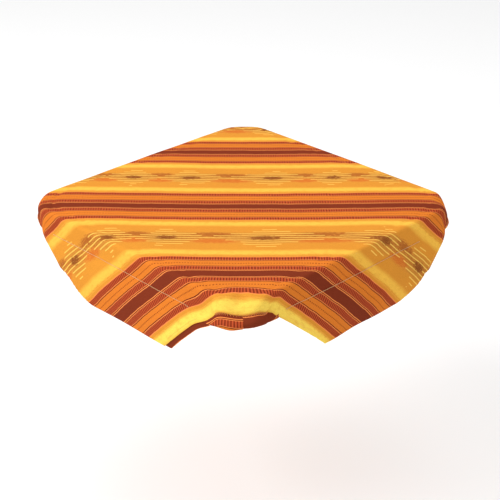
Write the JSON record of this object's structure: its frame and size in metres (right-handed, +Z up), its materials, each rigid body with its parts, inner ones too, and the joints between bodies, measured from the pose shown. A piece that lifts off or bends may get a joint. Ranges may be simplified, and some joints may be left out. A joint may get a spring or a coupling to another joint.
{
  "type": "chair seat pad",
  "caption": "Square foam seat pad in a striped cotton cover laid cornerwise, with four flaps that hang over the chair's sides and fold under its rails.",
  "frame": {"origin": "centre of the pad's underside, where it rests on the chair's seat", "axes": "+Z up, -Y towards the front flap, +X towards the right flap; the stripes run from the front left corner to the back right corner"},
  "size_m": [0.4256, 0.4256, 0.1092],
  "materials": {
    "foam": "open-cell polyurethane foam, matt",
    "striped_cloth": "ribbed cotton with yellow, orange and brown stripes",
    "under_cloth": "the same striped ribbed cotton, its plainer side out",
    "patch_cloth": "doubled cotton, matt",
    "light_thread": "twisted cotton thread",
    "overlock_thread": "zigzag cotton thread",
    "eyelet_metal": "stamped brass, lightly worn"
  },
  "bodies": {
    "pad": {"foam_core": "foam", "top_cover": "striped_cloth", "under_cover": "under_cloth", "corner_wrap_front_right_left": "under_cloth", "corner_wrap_front_right_right": "under_cloth", "corner_seam_front_right": "overlock_thread", "corner_wrap_back_right_left": "under_cloth", "corner_wrap_back_right_right": "under_cloth", "corner_seam_back_right": "overlock_thread", "corner_wrap_back_left_left": "under_cloth", "corner_wrap_back_left_right": "under_cloth", "corner_seam_back_left": "overlock_thread", "corner_wrap_front_left_left": "under_cloth", "corner_wrap_front_left_right": "under_cloth", "corner_seam_front_left": "overlock_thread", "pocket_seam_front": "light_thread", "pocket_seam_right": "light_thread", "pocket_seam_back": "light_thread", "pocket_seam_left": "light_thread"},
    "flap_front": {"flap_lining_front": "under_cloth", "flap_cloth_front": "striped_cloth", "flap_edge_seam_front": "light_thread"},
    "tongue_front": {"tongue_lining_front": "under_cloth", "tongue_cloth_front": "striped_cloth", "eyelet_patch_front": "patch_cloth", "eyelet_washer_front": "eyelet_metal", "tie_eyelet_front": "eyelet_metal"},
    "flap_right": {"flap_lining_right": "under_cloth", "flap_cloth_right": "striped_cloth", "flap_edge_seam_right": "light_thread"},
    "tongue_right": {"tongue_lining_right": "under_cloth", "tongue_cloth_right": "striped_cloth", "eyelet_patch_right": "patch_cloth", "eyelet_washer_right": "eyelet_metal", "tie_eyelet_right": "eyelet_metal"},
    "flap_back": {"flap_lining_back": "under_cloth", "flap_cloth_back": "striped_cloth", "flap_edge_seam_back": "light_thread"},
    "tongue_back": {"tongue_lining_back": "under_cloth", "tongue_cloth_back": "striped_cloth", "eyelet_patch_back": "patch_cloth", "eyelet_washer_back": "eyelet_metal", "tie_eyelet_back": "eyelet_metal"},
    "flap_left": {"flap_lining_left": "under_cloth", "flap_cloth_left": "striped_cloth", "flap_edge_seam_left": "light_thread"},
    "tongue_left": {"tongue_lining_left": "under_cloth", "tongue_cloth_left": "striped_cloth", "eyelet_patch_left": "patch_cloth", "eyelet_washer_left": "eyelet_metal", "tie_eyelet_left": "eyelet_metal"}
  },
  "joints": [
    {"name": "flap_front_lift", "type": "hinge", "parent": "pad", "child": "flap_front", "pos_m": [0, -0.21, 0], "axis": [-1, 0, 0], "range_deg": [0, 90]},
    {"name": "tongue_front_unfold", "type": "hinge", "parent": "flap_front", "child": "tongue_front", "pos_m": [0, -0.2124, -0.0764], "axis": [-1, 0, 0], "range_deg": [0, 90]},
    {"name": "flap_right_lift", "type": "hinge", "parent": "pad", "child": "flap_right", "pos_m": [0.21, 0, 0], "axis": [0, -1, 0], "range_deg": [0, 90]},
    {"name": "tongue_right_unfold", "type": "hinge", "parent": "flap_right", "child": "tongue_right", "pos_m": [0.2124, 0, -0.0764], "axis": [0, -1, 0], "range_deg": [0, 90]},
    {"name": "flap_back_lift", "type": "hinge", "parent": "pad", "child": "flap_back", "pos_m": [0, 0.21, 0], "axis": [1, 0, 0], "range_deg": [0, 90]},
    {"name": "tongue_back_unfold", "type": "hinge", "parent": "flap_back", "child": "tongue_back", "pos_m": [0, 0.2124, -0.0764], "axis": [1, 0, 0], "range_deg": [0, 90]},
    {"name": "flap_left_lift", "type": "hinge", "parent": "pad", "child": "flap_left", "pos_m": [-0.21, 0, 0], "axis": [0, 1, 0], "range_deg": [0, 90]},
    {"name": "tongue_left_unfold", "type": "hinge", "parent": "flap_left", "child": "tongue_left", "pos_m": [-0.2124, 0, -0.0764], "axis": [0, 1, 0], "range_deg": [0, 90]}
  ]
}
